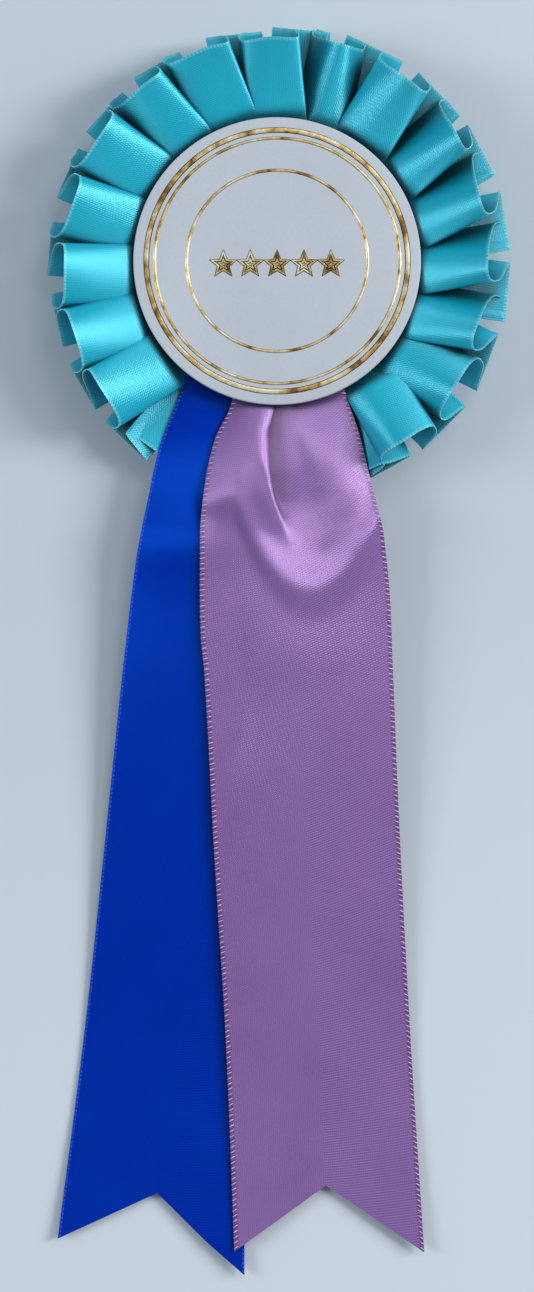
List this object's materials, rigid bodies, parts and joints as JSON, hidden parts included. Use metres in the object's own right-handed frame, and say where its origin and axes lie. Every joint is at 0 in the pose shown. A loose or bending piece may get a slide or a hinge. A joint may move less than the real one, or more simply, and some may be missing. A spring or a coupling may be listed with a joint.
{
  "type": "award ribbon",
  "caption": "Award rosette: round card centre with gold foil rings and stars, pleated satin ruffle, two swallowtail ribbon tails and a brooch bar pin behind.",
  "frame": {"origin": "centre of the bounding box in X and Y, on the surface that the pin's feet and the tails rest on", "axes": "+Z out of the centre disc's face, +Y from the tails towards the top of the rosette, +X to the viewer's right"},
  "size_m": [0.0984, 0.264, 0.0185],
  "materials": {
    "card": "matte laminated card",
    "gold_foil": "hot-stamped foil",
    "foam": "closed-cell foam",
    "turquoise_satin": "polyester satin ribbon",
    "lilac_satin": "polyester satin ribbon",
    "blue_satin": "polyester satin ribbon",
    "thread": "sewing thread",
    "backing_board": "uncoated card",
    "nickel": "nickel-plated steel"
  },
  "bodies": {
    "rosette": {"centre_disc": "card", "foil_broad_ring": "gold_foil", "foil_fine_ring": "gold_foil", "foil_inner_ring": "gold_foil", "foil_stars": "gold_foil", "foam_pad": "foam", "pleated_ribbon": "turquoise_satin", "pleat_stitching": "thread", "lilac_tail_top": "lilac_satin", "blue_tail_top": "blue_satin", "tail_staples": "nickel", "mounting_card": "backing_board", "backing_card": "backing_board", "pin_bar": "nickel", "bar_rivets": "nickel", "catch_case": "nickel", "hinge_rivet": "nickel"},
    "lilac_tail": {"lilac_tail": "lilac_satin"},
    "blue_tail": {"blue_tail": "blue_satin"},
    "pin_stem": {"pin_stem": "nickel"},
    "catch_roller": {"catch_roller": "nickel"}
  },
  "joints": [
    {"name": "lilac_tail_lift", "type": "hinge", "parent": "rosette", "child": "lilac_tail", "pos_m": [0, 0.0505, 0.00975], "axis": [-1, 0, 0], "range_deg": [0, 60]},
    {"name": "blue_tail_lift", "type": "hinge", "parent": "rosette", "child": "blue_tail", "pos_m": [0, 0.0505, 0.00885], "axis": [-1, 0, 0], "range_deg": [0, 33]},
    {"name": "pin_open", "type": "hinge", "parent": "rosette", "child": "pin_stem", "pos_m": [-0.014, 0.088, 0.0019], "axis": [0, 1, 0], "range_deg": [0, 75]},
    {"name": "catch_turn", "type": "hinge", "parent": "rosette", "child": "catch_roller", "pos_m": [0.0142, 0.088, 0.0019], "axis": [1, 0, 0], "range_deg": [0, 110]}
  ],
  "couplings": [
    {"joint": "blue_tail_lift", "follows": "lilac_tail_lift", "ratio": 0.55}
  ]
}
